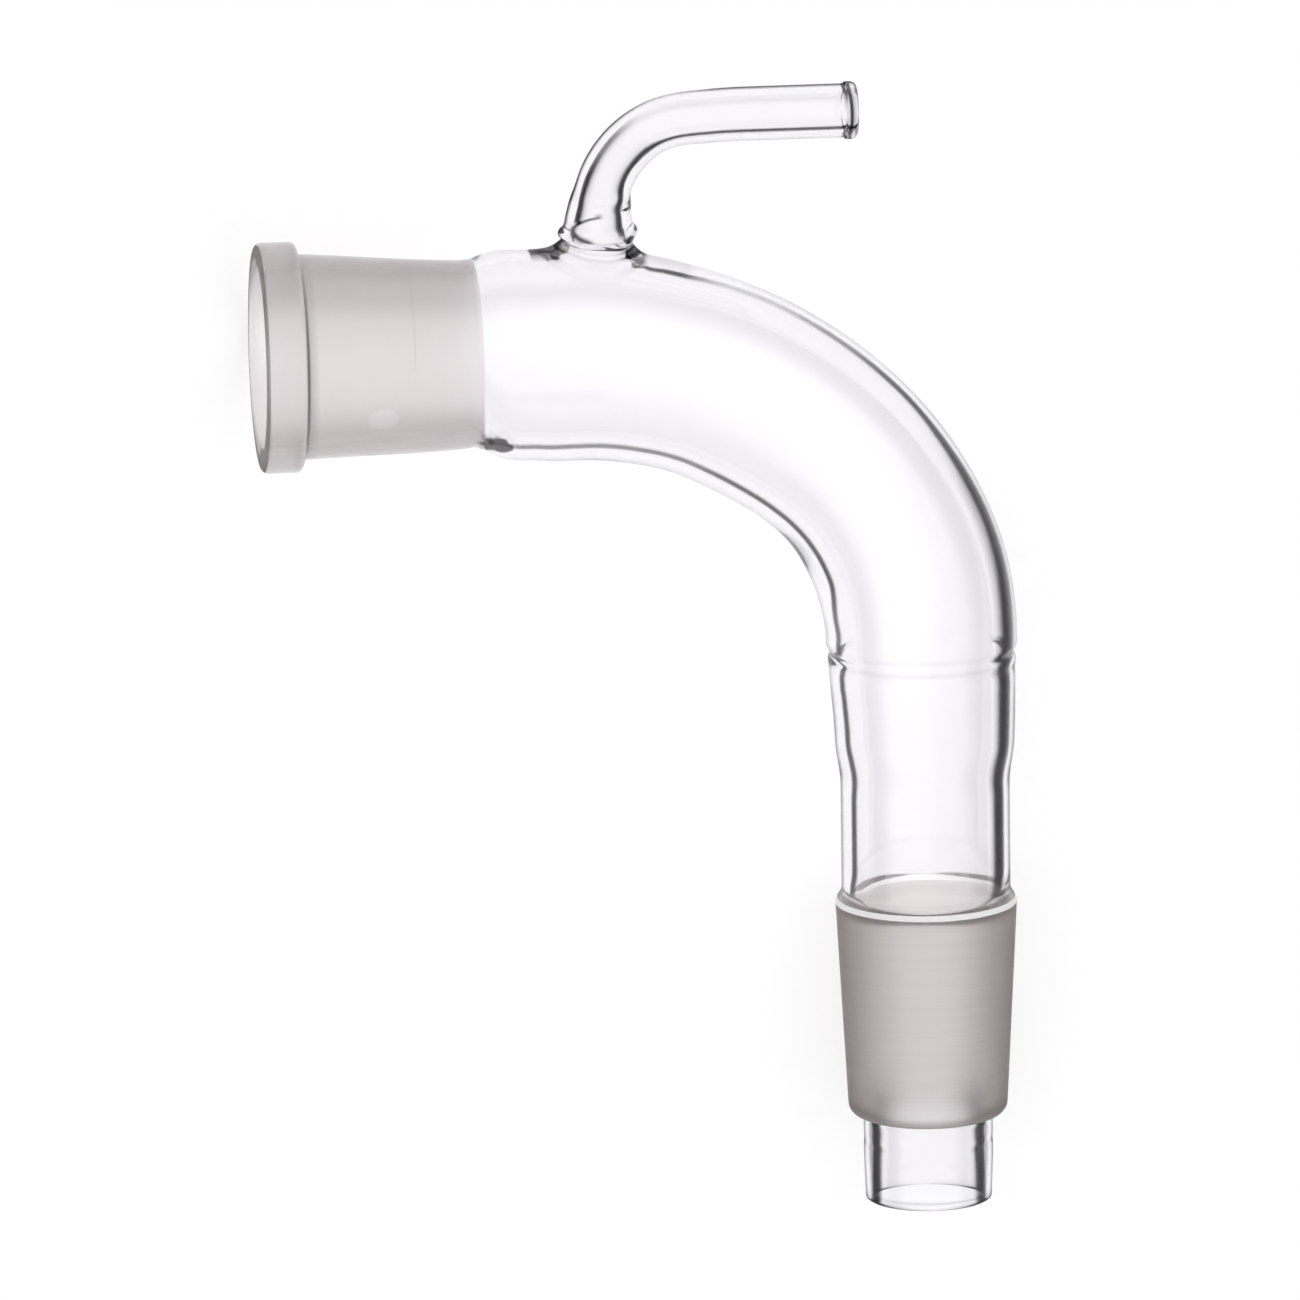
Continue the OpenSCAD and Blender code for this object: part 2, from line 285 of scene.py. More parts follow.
# ---------------------------------------------------------------- profile of the piece
# Numbers of the materials, in the order in which the glass gets them
CLEAR, WORN, BORE, GROUND_SOCKET, GROUND_CONE, GROUND_RIM, GROUND_MOUTH, CHALKY = range(8)
patch_from, patch_to = foot_s - PATCH_L, foot_s + PATCH_L


def bend_stations():
    """Stations of the flare and the bend, with an even stretch under the arm's foot."""
    flare = steps(-FLARE_L, patch_from, 10)[:-1]
    foot = steps(patch_from, patch_to, PATCH_RINGS)
    rest = steps(patch_to, bend_l, 50)[1:]
    return flare + foot + rest


def leg_top_radius(s):
    """Outside radius from the ring weld to the leg."""
    return ease(RING_R, LEG_TOP_R, (s - weld_s) / RING_RUN)


def narrowing_radius(s):
    """Outside radius where the leg narrows to its neck."""
    return ease(LEG_R, NECK_R, (s - narrow_s) / NARROW_L)


def outer_profile():
    """[length, radius, material] from the mouth to the tip's open end."""
    collar_end = mouth_s + COLLAR_L
    body_r = JOINT_R + SOCKET_WALL - TAPER * COLLAR_L
    points = arc(mouth_s + COLLAR_ROUND, COLLAR_R - COLLAR_ROUND, COLLAR_ROUND, 180, 90)
    # The matt rim ends a little before the collar's front edge is round
    rim = len(points) - 4
    points += line(points[-1], (collar_end - COLLAR_ROUND, COLLAR_R))[1:]
    points += arc(collar_end - COLLAR_ROUND, COLLAR_R - COLLAR_ROUND, COLLAR_ROUND, 90, 0)
    points += arc(collar_end + COLLAR_HOLLOW, body_r + COLLAR_HOLLOW, COLLAR_HOLLOW, 180, 270)
    points += line(points[-1], (ground_s, socket_end_r + SOCKET_WALL))[1:]
    worn = len(points)
    points += [(s, bend_radius(s)) for s in bend_stations()]
    # Ring weld, leg and neck
    points += [(s, leg_top_radius(s)) for s in steps(bend_l + 0.2, weld_s + 4, 24)]
    points += line(points[-1], (narrow_s, LEG_R))[1:]
    points += [(s, narrowing_radius(s)) for s in steps(narrow_s, neck_s, 10)]
    slope_s = shoulder_s - SLOPE_L
    points += line(points[-1], (slope_s, NECK_R))[1:]
    points += [(s, ease(NECK_R, JOINT_R - CHAMFER, (s - slope_s) / (cone_top_s - slope_s)))
               for s in steps(slope_s, cone_top_s - CHAMFER, 8)]
    clear = len(points)
    # The slope's last rings are chalky
    shoulder = clear - 3
    # Ground cone and its rounded lower end
    points += [(cone_top_s, JOINT_R)]
    points += line((cone_top_s + 0.2, JOINT_R - TAPER * 0.2), (cone_end_s - CONE_ROUND, cone_end_r))
    points += arc(cone_end_s - CONE_ROUND, cone_end_r - CONE_ROUND, CONE_ROUND, 90, 15)
    ground = len(points)
    # Clear drip tip, with the faint groove round it
    points += [(cone_end_s - 0.1, TIP_R + 0.14), (cone_end_s + 0.25, TIP_R)]
    points += [(cone_end_s + GROOVE_AT + d, TIP_R - GROOVE_DEEP * hump(d, 0, GROOVE_HALF))
               for d in steps(-2.4, 2.4, 16)]
    points += line(points[-1], (tip_end_s - TIP_WALL / 2, TIP_END_R))[1:]
    points += arc(tip_end_s - TIP_WALL / 2, TIP_END_R - TIP_WALL / 2, TIP_WALL / 2, 90, 0)
    tags = [GROUND_RIM] * rim + [WORN] * (worn - rim) + [CLEAR] * (shoulder - worn)
    tags += [CHALKY] * (clear - shoulder + 1)
    tags += [GROUND_CONE] * (ground - clear - 1) + [CLEAR] * (len(points) - ground)
    return [(*p, tag) for p, tag in zip(points, tags)]


def inner_profile():
    """[length, radius, material] from the tip's open end back to the mouth."""
    tip_in = TIP_END_R - TIP_WALL
    points = arc(tip_end_s - TIP_WALL / 2, tip_in + TIP_WALL / 2, TIP_WALL / 2, -5, -90)
    # Close rings for the painted dark line at the tip's open end
    points += [(tip_end_s - d, tip_in) for d in (0.6, 0.75, 0.9, 1.05, 1.2)]
    tip_bore_s = cone_end_s + TIP_BORE_TOP
    points += line(points[-1], (tip_bore_s, tip_in))[1:]
    bore_end = cone_end_r - CONE_WALL
    points += [(s, ease(tip_in, bore_end, (tip_bore_s - s) / TIP_BORE_RUN))
               for s in steps(tip_bore_s, tip_bore_s - TIP_BORE_RUN, 8)]
    bore_top = JOINT_R - CONE_WALL
    cone_bore_s = cone_top_s + CONE_BORE_TOP
    points += line(points[-1], (cone_bore_s, bore_top))[1:]
    neck_in = NECK_R - mean_wall(neck_s)
    points += [(s, ease(bore_top, neck_in, (cone_bore_s - s) / CONE_BORE_RUN))
               for s in steps(cone_bore_s, cone_bore_s - CONE_BORE_RUN, 10)]
    points += line(points[-1], (neck_s, neck_in))[1:]
    points += [(s, narrowing_radius(s) - mean_wall(s)) for s in steps(neck_s, narrow_s, 10)]
    leg_s = weld_s + 4.4
    points += line(points[-1], (leg_s, LEG_TOP_R - mean_wall(leg_s)))[1:]
    points += [(s, leg_top_radius(s) - mean_wall(s)) for s in steps(leg_s, bend_l + 0.2, 26)]
    points += [(s, bend_bore(s)) for s in reversed(bend_stations())]
    clear = next(k for k, p in enumerate(points)
                 if abs(p[0] - ground_s) < GROUND_SPILL and p[0] < 0)
    marks = [(s, JOINT_R - TAPER * (s - mouth_s))
             for s in (SCRATCH_S + SCRATCH_HALF, SCRATCH_S, SCRATCH_S - SCRATCH_HALF)]
    points += line((ground_s, socket_end_r), marks[0])[1:] + marks
    points += line(marks[-1], (mouth_s + MOUTH_DEEP, JOINT_R), 0.4)[1:]
    ground = len(points)
    for a in (math.radians(d) for d in steps(0, 90, 8)):
        in_s = mouth_s + MOUTH_DEEP * (1 - math.sin(a))
        points.append((in_s, JOINT_R + MOUTH_WIDE * (1 - math.cos(a))))
    tags = [BORE] * clear + [GROUND_SOCKET] * (ground - clear)
    tags += [GROUND_RIM] * (len(points) - ground)
    return [(*p, tag) for p, tag in zip(points, tags)]


# ---------------------------------------------------------------- side arm
# Its root lies a little below the tube's upper side
arm_root = Vector((bend_x + foot_s, SWELL_R - SAG - 0.4, 0))
arm_up = Vector((math.sin(ARM_LEAN), math.cos(ARM_LEAN), 0))
arm_side = Vector((math.cos(ARM_LEAN), -math.sin(ARM_LEAN), 0))
across = Vector((0, 0, 1))
arm_h = on_bench(arm_middle).y
arm_turn = math.pi / 2 - ARM_LEAN
arm_rise = (arm_h - arm_root.y - ARM_BEND_R * (1 - math.cos(arm_turn))) / math.cos(ARM_LEAN)
arm_arc_l = ARM_BEND_R * arm_turn
straight_s = arm_rise + arm_arc_l
arm_l = straight_s + ARM_STRAIGHT + BEAD_L
bead_s = arm_l - BEAD_L

# Unevenness of the arm, as (height, middle, width) along it: sideways, and of its radius,
# which is more where it leaves its foot and less where it bends
ARM_BOWS = ((0.25, 24, 3.5), (0.15, 7.5, 1.5))
ARM_SWELLS = ((0.1, 6, 6), (0.5, 5.5, 2.2), (-0.08, 20, 6))


def arm_frame(s):
    """Centre and sideways direction of the arm at the length s above its root."""
    bulge = humps(s, ARM_BOWS)
    if s <= arm_rise:
        return arm_root + arm_up * s + arm_side * bulge, arm_side
    turned = min((s - arm_rise) / ARM_BEND_R, arm_turn)
    pivot = arm_root + arm_up * arm_rise + arm_side * ARM_BEND_R
    a = ARM_LEAN + turned
    side = Vector((math.cos(a), -math.sin(a), 0))
    along = Vector((math.sin(a), math.cos(a), 0))
    return pivot - side * (ARM_BEND_R - bulge) + along * max(s - straight_s, 0), side


def height_on_tube(offset, bore):
    """How far above the arm's root, along the arm, the tube's surface lies at a sideways offset."""
    radius = bend_bore if bore else bend_radius
    # Halves the stretch between a height inside the tube and one outside it
    low, high = -6.0, 4.0
    for _ in range(24):
        middle = (low + high) / 2
        point = arm_root + offset + arm_up * middle
        # The nearest place of the centre line, from a first guess
        s = point.x - bend_x
        for _ in range(4):
            x, y, heading = centre(s)
            s += (point.x - x) * math.cos(heading) - (point.y - y) * math.sin(heading)
        x, y, heading = centre(s)
        shift = bore_shift(s) if bore else 0
        x, y = x + shift * math.sin(heading), y + shift * math.cos(heading)
        away = Vector((point.x - x, point.y - y, point.z)).length
        if away < radius(s):
            low = middle
        else:
            high = middle
    return (low + high) / 2


# Foot of the arm: distance from the arm's axis, height above the tube's surface, and
# how much that surface's shape still shows (1) or has given way to a level ring (0)
FOOT_OUTSIDE = [(7.9, 0.0, 1.0), (6.9, 0.1, 1.0), (6.1, 0.35, 1.0), (5.5, 0.7, 1.0),
                (5.0, 1.1, 0.95), (4.72, 1.4, 0.9), (4.7, 1.65, 0.85), (4.93, 1.9, 0.8),
                (5.15, 2.2, 0.7), (5.22, 2.55, 0.6), (5.12, 2.9, 0.5), (4.85, 3.2, 0.4),
                (4.6, 3.45, 0.3), (4.46, 3.9, 0.2), (4.38, 4.4, 0.1), (4.28, 4.9, 0.04),
                (4.18, 5.4, 0.0)]
FOOT_BORE = [(6.4, 0.0, 1.0), (5.6, 0.08, 1.0), (5.0, 0.25, 1.0), (4.6, 0.6, 1.0),
             (4.36, 1.0, 0.95), (4.26, 1.5, 0.9), (4.2, 2.1, 0.8), (4.16, 2.6, 0.7),
             (4.1, 3.0, 0.6), (4.02, 3.4, 0.45), (3.89, 3.8, 0.3), (3.71, 4.25, 0.2),
             (3.5, 4.7, 0.1), (3.28, 5.2, 0.04), (3.08, 5.8, 0.0), (2.96, 6.4, 0.0)]


def finer(profile):
    """The foot's profile as a smooth curve (Catmull-Rom) through its points, with close rings."""
    rows = [profile[0]]
    for k in range(1, len(profile)):
        before, start, end = profile[max(k - 2, 0)], profile[k - 1], profile[k]
        after = profile[min(k + 1, len(profile) - 1)]
        n = math.ceil(math.dist(start[:2], end[:2]) / FOOT_GAP)
        for i in range(1, n + 1):
            t = i / n
            rows.append(tuple(b + (c - a + (2 * a - 5 * b + 4 * c - d
                                            + (3 * b - a - 3 * c + d) * t) * t) * t / 2
                              for a, b, c, d in zip(before, start, end, after)))
    return rows


FRONT_LIFT = 0.7                # the foot is plain in front and behind above this


def foot_slant(lift, a, bore):
    """The foot's bulge stands higher on the side where the arm bends away."""
    slant = 0.4 * math.cos(a) if bore else 0.1 + 0.5 * math.cos(a)
    return slant * ease(0, 1, (lift - 1) / 1.5) * ease(1, 0, (lift - 3.2) / 2.2)


def foot_front(lift):
    """Radius of the foot in front and behind, where the bulge has melted into a plain flare."""
    return 4.15 + 1.35 * math.exp((FRONT_LIFT - lift) / 1.6)


def from_arm_axis(r, a):
    """Sideways step from the arm's rising axis, r millimetres in the direction a."""
    return arm_side * (r * math.cos(a)) + across * (r * math.sin(a))


def foot_rings(loop, profile, bore):
    """Rings from the loop of tube points round the foot in to the arm's first ring."""
    n = len(loop)
    from_root = [p - arm_root for p in loop]
    angles = [math.atan2(d.dot(across), d.dot(arm_side)) for d in from_root]
    reach = [math.hypot(d.dot(across), d.dot(arm_side)) for d in from_root]
    level = height_on_tube(Vector((0, 0, 0)), bore)
    even = even_angles(angles)
    base = profile[0][0]
    rings = []
    # On the tube's surface, from the angular loop in to the foot's round edge
    blend_in = 4
    for k in range(1, blend_in):
        t = k / blend_in
        ring = []
        for j in range(n):
            r = reach[j] + (base - reach[j]) * t
            a = angles[j] + (even[j] - angles[j]) * t
            offset = from_arm_axis(r, a)
            ring.append(arm_root + offset + arm_up * height_on_tube(offset, bore))
        rings.append(ring)
    for full, lift, follow in profile:
        ring = []
        for a in even:
            plain = 0 if bore or lift < FRONT_LIFT else math.sin(a) ** 2
            offset = from_arm_axis(full + (foot_front(lift) - full) * plain, a)
            surface = height_on_tube(offset, bore) if follow else level
            height = level + (surface - level) * follow + lift + foot_slant(lift, a, bore)
            ring.append(arm_root + offset + arm_up * height)
        rings.append(ring)
    return rings, even


def even_angles(angles):
    """Even angles in the same order and nearest to the given ones."""
    n = len(angles)
    turn = 1 if (angles[1] - angles[0] + math.pi) % (2 * math.pi) > math.pi else -1
    shift = sum(math.sin(a - turn * 2 * math.pi * j / n) for j, a in enumerate(angles))
    level = sum(math.cos(a - turn * 2 * math.pi * j / n) for j, a in enumerate(angles))
    start = math.atan2(shift, level)
    even = [start + turn * 2 * math.pi * j / n for j in range(n)]
    return [e + 2 * math.pi * round((a - e) / (2 * math.pi)) for e, a in zip(even, angles)]


def arm_ring(s, r, angles):
    """Ring of the arm at the length s above its root."""
    middle, side = arm_frame(s)
    return [middle + side * (r * math.cos(a)) + across * (r * math.sin(a)) for a in angles]


def arm_outside():
    """[length, radius] from the top of the foot to the open end."""
    stations = steps(ARM_TOP_OF_FOOT, straight_s, 44) + steps(straight_s, bead_s - 0.3, 18)[1:]
    points = [(s, ARM_R + humps(s, ARM_SWELLS)) for s in stations]
    stations = steps(bead_s - 0.2, bead_s + 0.2, 5) + steps(bead_s + 0.3, arm_l - 0.9, 5)
    points += [(s, ease(ARM_R, BEAD_R, (s - bead_s + 0.2) / 0.4)) for s in stations]
    points += arc(arm_l - BEAD_ROUND, BEAD_R - BEAD_ROUND, BEAD_ROUND, 90, 0)
    return points


def arm_bore():
    """[length, radius] from the open end back to the top of the foot."""
    bore = ARM_R - ARM_WALL
    widest = 6.5
    points = arc(arm_l - LIP_ROUND, bore + 0.1 + LIP_ROUND, LIP_ROUND, 0, -90)
    stations = steps(arm_l - 0.9, arm_l - 3, 12) + steps(arm_l - 3, straight_s, 16)[1:]
    stations += steps(straight_s, 8.0, 42)[1:] + steps(8.0, 5.7, 17)[1:]
    points += [(s, bore + 0.45 * hump(max(s, widest), widest, 3)) for s in stations]
    return points


# ---------------------------------------------------------------- painted dark lines of shade
# Painted shade: how strong and how broad the painted dark line along a wall is, at lengths of the
# tube
LINE_OUTSIDE = ((-70, 0), (17, 0), (18.8, 0.5), (22, 0.22), (28, 0.25), (37, 0.6), (45, 1),
                (106.4, 1), (108.4, 0), (132, 0), (136, 1), (150, 1))
REACH_OUTSIDE = ((-70, 0.45), (33, 0.42), (45, 0.45), (60, 0.75), (72, 0.9), (104, 0.85),
                 (137, 1.1))
LINE_INSIDE = ((-70, 0), (-4, 0), (-1, 0.6), (25, 0.65), (33, 0.85), (60, 0.95), (70, 0.75),
               (80, 0.9), (106.4, 0.9), (108.4, 0), (132, 0), (136, 1), (150, 1))
REACH_INSIDE = ((-70, 0.4), (70, 0.42), (80, 0.45), (92, 0.5), (104, 0.5), (137, 1.0))
EDGE = ((-70, 0), (-6, 0), (0, 0.1), (40, 0.1), (52, 0.3), (76, 0.3), (82, 0.65), (137, 0.65))
LINE_ARM_UPPER = ((0, 0), (5.0, 0), (5.6, 1), (9, 1), (13, 0.6), (19, 0))
LINE_ARM_LOWER = ((0, 0), (3.2, 0), (4, 1), (16, 1), (22, 0.8), (90, 0.75))
REACH_ARM = ((0, 1.4), (6, 1.5), (10, 1.7), (16, 1.7), (21, 1.1), (90, 1))
EDGE_ARM_UPPER = ((0, 1), (15, 1), (22, 0.35), (29, 0.9), (90, 0.9))
EDGE_ARM_LOWER = 0.2
LINE_FADE = 0.7                 # the lower, the less a line fades round the tube
BROAD = 0.45                    # lines broader than this are shaded outside too

# Painted shade round the tube and the arm, and the darkness of the scratch, as (strength, place, half
# width);
# the collar's is placed from the collar's back edge
SCRATCH_INK = ((0.2, SCRATCH_S, 0.05),)
PAINTED_WELD_SHADE = ((0.05, ring_at + 0.9, 0.3), (0.03, ring_at - 0.8, 0.3))
PAINTED_TIP_END_SHADE = ((0.3, tip_end_s - 0.9, 0.16),)
PAINTED_TIP_EDGE_SHADE = ((0.5, tip_end_s, 0.45),)
PAINTED_COLLAR_SHADE = ((1.0, 0.15, 0.32),)
PAINTED_BEAD_SHADE = ((1, bead_s, 0.16),)
PAINTED_ARM_END_SHADE = ((0.5, arm_l, 0.2),)


def on_tube(s, i):
    """Painted shade at side i of a ring: line strength and breadth, edge tone, shading, marks and
    painted shade, and rim tone.
    """
    t = 2 * math.pi * i / SIDES
    out, up = math.cos(t), math.sin(t)
    stations = (LINE_OUTSIDE, REACH_OUTSIDE) if out > 0 else (LINE_INSIDE, REACH_INSIDE)
    strength = abs(out) ** LINE_FADE * through(s, stations[0])
    breadth = through(s, stations[1])
    shade = strength * ease(0, 1, (breadth - BROAD) / BROAD)
    ink = 0.0
    if s < ground_s:
        # The ground bore is darker on the outside of the bend, and has its scratch there
        ink = 0.14 * ease(0, 1, (out - 0.1) / 0.7) + humps(s, SCRATCH_INK) * (out > 0)
    if abs(s - ring_at) < 2.5:
        ink = humps(s, PAINTED_WELD_SHADE) * max(up, 0)
    if s > tip_end_s - 2.5:
        ink = humps(s, PAINTED_TIP_END_SHADE) * max(up, 0) + humps(s, PAINTED_TIP_EDGE_SHADE) * out ** 2
    return strength, breadth, through(s, EDGE), shade, ink, 0.0


def on_arm(s, a, ink=0.0):
    """The same at the length s of the arm and the angle a from its lower side."""
    out, up = math.cos(a), math.sin(a)
    upper = out < 0
    strength = abs(out) ** LINE_FADE * through(s, LINE_ARM_UPPER if upper else LINE_ARM_LOWER)
    edge = through(s, EDGE_ARM_UPPER) if upper else EDGE_ARM_LOWER
    crease_s = bead_s + 0.35 + 0.35 * abs(up)
    bead = humps(s, PAINTED_BEAD_SHADE) * out ** 2 + hump(s, crease_s, 0.2)
    ink += min(bead + humps(s, PAINTED_ARM_END_SHADE), 1) * (up > -0.3)
    return strength, through(s, REACH_ARM), 0.0, 0.0, ink, edge * abs(out)


# Painted shade in the creases of the arm's foot and in a dark wedge beside it, placed from its root:
# the photo looks at them slantwise, so how high a place shows is a mix of its height on the bench and
# its distance from it
SEEN_UP, SEEN_AWAY = 0.975, 0.221
WEDGE_X, WEDGE_UP, WEDGE_SLOPE = -5.05, -0.77, -0.451   # corner of the dark wedge on the left
HOLE_X, HOLE_UP = 0.85, 2.5     # middle of the crease round the hole
HOLE_WIDE, HOLE_HIGH = 3.84, 1.8
UPPER_CREASE, LOWER_CREASE = 1.22, 0.75                 # heights above the tube


def painted_foot_shade(point, lift, a, bore):
    """Painted shade in the creases round the arm's foot, most of it on the side that the photo shows.
    """
    from_root = point - arm_root
    x, right, front = from_root.x, math.cos(a), math.sin(a)
    seen = SEEN_UP * from_root.y - SEEN_AWAY * from_root.z
    if bore:
        return painted_oval_shade(x - HOLE_X, seen - HOLE_UP) * (front > 0)
    over_slope = seen - WEDGE_UP - WEDGE_SLOPE * (x - WEDGE_X)
    wedge = 0.8 * ease(0, 1, (WEDGE_X - x) / 0.25) * ease(0, 1, over_slope / 0.2)
    corner = ease(0, 1, (right - 0.93) / 0.06) * ease(1, 0, (lift - 0.8) / 0.6)
    corner *= ease(0, 1, (lift - 0.05) / 0.3)
    if front < 0:
        return wedge * (front > -0.4) + corner
    upper = hump(lift, UPPER_CREASE, 0.1) * min(0.15 + hump(right, 0.8, 0.25), 1)
    lower = hump(lift, LOWER_CREASE, 0.1) * min(0.2 + hump(right, 0.75, 0.2), 1)
    return min(wedge * (lift < 3) + corner + upper + lower, 1)


# Painted shade and half width of the dark crease round the hole under the arm, by degrees round the
# hole
PAINTED_OVAL_SHADE = ((-180, 1), (-125, 1), (-108, 0.3), (-60, 0.25), (-42, 0.9), (10, 0.9), (22, 0.3),
            (40, 0.04), (92, 0.04), (104, 0.9), (180, 1))
OVAL_WIDTH = ((-180, 0.26), (-140, 0.46), (-108, 0.14), (-60, 0.1), (-40, 0.3), (10, 0.22),
              (40, 0.1), (104, 0.18), (140, 0.24), (180, 0.28))


def painted_oval_shade(across_hole, up_hole):
    """Painted shade of the crease round the hole, at a distance from its middle."""
    u, v = across_hole / HOLE_WIDE, up_hole / HOLE_HIGH
    turn = math.degrees(math.atan2(v, u))
    off = (math.hypot(u, v) - 1) * math.hypot(HOLE_WIDE * math.cos(math.radians(turn)),
                                             HOLE_HIGH * math.sin(math.radians(turn)))
    return through(turn, PAINTED_OVAL_SHADE) * hump(off, 0, through(turn, OVAL_WIDTH))


# ---------------------------------------------------------------- one closed mesh
def tube_ring(s, r, bore):
    """Ring of the tube at the length s, side 0 on the outside of the bend."""
    x, y, heading = centre(s)
    shift = bore_shift(s) if bore else 0
    ring = []
    for i in range(SIDES):
        t = 2 * math.pi * i / SIDES
        away = r - weld_dent(s, t, bore)
        out = away * math.cos(t) + shift
        height = away * math.sin(t)
        drop = 0 if bore else lean(s)
        ring.append(Vector((x + out * math.sin(heading), y + out * math.cos(heading) + drop, height)))
    return ring


def weld_dent(s, t, bore):
    """How far the ring weld draws a surface in, most on the outside and inside of the bend."""
    side = 0.05 + 0.95 * math.cos(t) ** 4
    if bore:
        side *= 1 if math.cos(t) > 0 else 0.5
        return BORE_PINCH * side * hump(s, ring_at + 0.1, 0.6)
    return RING_PINCH * side * hump(s, ring_at, 0.65)


def patch_loop(first):
    """Places of the vertices round the arm's foot, as [ring, side], in order."""
    last, low, high = first + PATCH_RINGS, -PATCH_SIDES, PATCH_SIDES
    loop = [(k, low) for k in range(first, last)]
    loop += [(last, i) for i in range(low, high)]
    loop += [(k, high) for k in range(last, first, -1)]
    loop += [(first, i) for i in range(high, low, -1)]
    return loop


def build_glass():
    """The whole piece as one closed mesh, with its painted shade and marks as attributes of the
    vertices.
    """
    mesh = bmesh.new()
    layers = [mesh.verts.layers.float.new(name)
              for name in ("line", "reach", "edge", "shade", "ink", "rim")]

    def ring_of(points, shades):
        """Vertices at the points, with their shades."""
        ring = []
        for p, shade in zip(points, shades):
            vertex = mesh.verts.new(p)
            for layer, value in zip(layers, shade):
                vertex[layer] = value
            ring.append(vertex)
        return ring

    profile = outer_profile() + inner_profile()
    bored = len(outer_profile())
    rings = []
    for k, (s, r, _) in enumerate(profile):
        shades = [on_tube(s, i) for i in range(SIDES)]
        if s < 0 and k < bored:
            # Painted shade in the hollow behind the collar
            ink = humps(s - mouth_s - COLLAR_L, PAINTED_COLLAR_SHADE)
            shades = [(*shade[:4], ink * max(math.sin(2 * math.pi * i / SIDES), 0), 0)
                      for i, shade in enumerate(shades)]
        rings.append(ring_of(tube_ring(s, r, k >= bored), shades))
    outer_first = next(k for k, p in enumerate(profile) if abs(p[0] - patch_from) < 1e-6)
    inner_first = next(k for k, p in enumerate(profile)
                       if k > outer_first + PATCH_RINGS and abs(p[0] - patch_to) < 1e-6)
    covered = set()
    for first in (outer_first, inner_first):
        for k in range(first, first + PATCH_RINGS):
            for i in range(-PATCH_SIDES, PATCH_SIDES):
                covered.add((k, i % SIDES))
    for k in range(len(rings)):
        a, b = rings[k], rings[(k + 1) % len(rings)]
        for i in range(SIDES):
            if (k, i) not in covered:
                j = (i + 1) % SIDES
                face = mesh.faces.new((a[i], a[j], b[j], b[i]))
                # Painted light: the mouth's far side, seen through the opening, takes its own copy of
                # the matt glass with tones of its own
                deep = MOUTH_LIT * max(-math.sin(2 * math.pi * (i + 0.5) / SIDES), 0) ** 0.5
                lit = bored <= k < len(rings) - 1 and profile[k][0] < mouth_s + deep
                behind = k in WORN_RINGS and i >= SIDES / 2
                face.material_index = GROUND_MOUTH if lit else WORN if behind else profile[k][2]

    outer_loop = [rings[k][i % SIDES] for k, i in patch_loop(outer_first)]
    inner_loop = [rings[k][i % SIDES] for k, i in patch_loop(inner_first)]
    # The bore's rings run the other way along the tube, so its loop starts at the far side
    inner_loop = inner_loop[PATCH_RINGS::-1] + inner_loop[:PATCH_RINGS:-1]

    foot_outside, foot_bore = finer(FOOT_OUTSIDE), finer(FOOT_BORE)
    outside, angles = foot_rings([v.co for v in outer_loop], foot_outside, False)
    inside, _ = foot_rings([v.co for v in inner_loop], foot_bore, True)
    walls = shaded_foot(outside, foot_outside, angles, False)
    walls += [(arm_ring(s, r, angles), [on_arm(s, a) for a in angles], CLEAR)
              for s, r in arm_outside()]
    for s, r in arm_bore():
        ring = arm_ring(s, r, angles)
        painted_shades = [painted_foot_shade(p, s, a, True) if s < 9 else 0 for p, a in zip(ring, angles)]
        walls.append((ring, [on_arm(s, a, ink) for a, ink in zip(angles, painted_shades)], BORE))
    walls += reversed(shaded_foot(inside, foot_bore, angles, True))

    previous, tag = outer_loop, CLEAR
    for points, shades, next_tag in walls:
        verts = ring_of(points, shades)
        bridge(mesh, previous, verts, tag)
        previous, tag = verts, next_tag
    bridge(mesh, previous, inner_loop, BORE)

    loose = [v for v in mesh.verts if not v.link_faces]
    bmesh.ops.delete(mesh, geom=loose, context="VERTS")
    bmesh.ops.recalc_face_normals(mesh, faces=mesh.faces)
    for v in mesh.verts:
        v.co = bench @ (v.co * MM)
    for face in mesh.faces:
        face.smooth = True
    data = bpy.data.meshes.new("glass_body")
    mesh.to_mesh(data)
    mesh.free()
    glass = bpy.data.objects.new("glass_body", data)
    bpy.context.collection.objects.link(glass)
    return glass


def shaded_foot(rings, profile, angles, bore):
    """The foot's rings with their shades and material."""
    lifts = [0.0] * (len(rings) - len(profile)) + [lift for _, lift, _ in profile]
    shaded = []
    for ring, lift in zip(rings, lifts):
        shades = [on_arm(lift, a, painted_foot_shade(p, lift, a, bore)) for p, a in zip(ring, angles)]
        if bore and lift < 0.3:
            # As on the tube round it, but with its line only on the side where the arm bends away
            shades = [(ease(0, 1, (math.cos(a) - 0.8) / 0.15), 0.42, 0.1, 0, 0, 0) for a in angles]
        shaded.append((ring, shades, BORE if bore else CLEAR))
    return shaded


def bridge(mesh, a, b, tag):
    """A strip of quads between two loops of as many vertices."""
    for i in range(len(a)):
        j = (i + 1) % len(a)
        face = mesh.faces.new((a[i], a[j], b[j], b[i]))
        face.material_index = tag


# ---------------------------------------------------------------- materials
IOR = 1.47
CLEAR_TINT = (0.975, 0.972, 0.978)
# Painted shade: the dark tints that the painted lines, edges and marks turn the glass to
PAINTED_SHADE_TINT = (0.17, 0.16, 0.165)
PAINTED_LINE_TINT = (0.02, 0.018, 0.02)
MATT_DARK_TINT = (0.3, 0.28, 0.28)
PAINTED_HIGHLIGHT_TINT = (0.97, 0.96, 0.96)
WORN_ROUGH = 0.22
GROUND_ROUGH = 0.55
MARKS_FINE, MARKS_LONG = 2600, 60       # how dense the grinding marks are, across and along

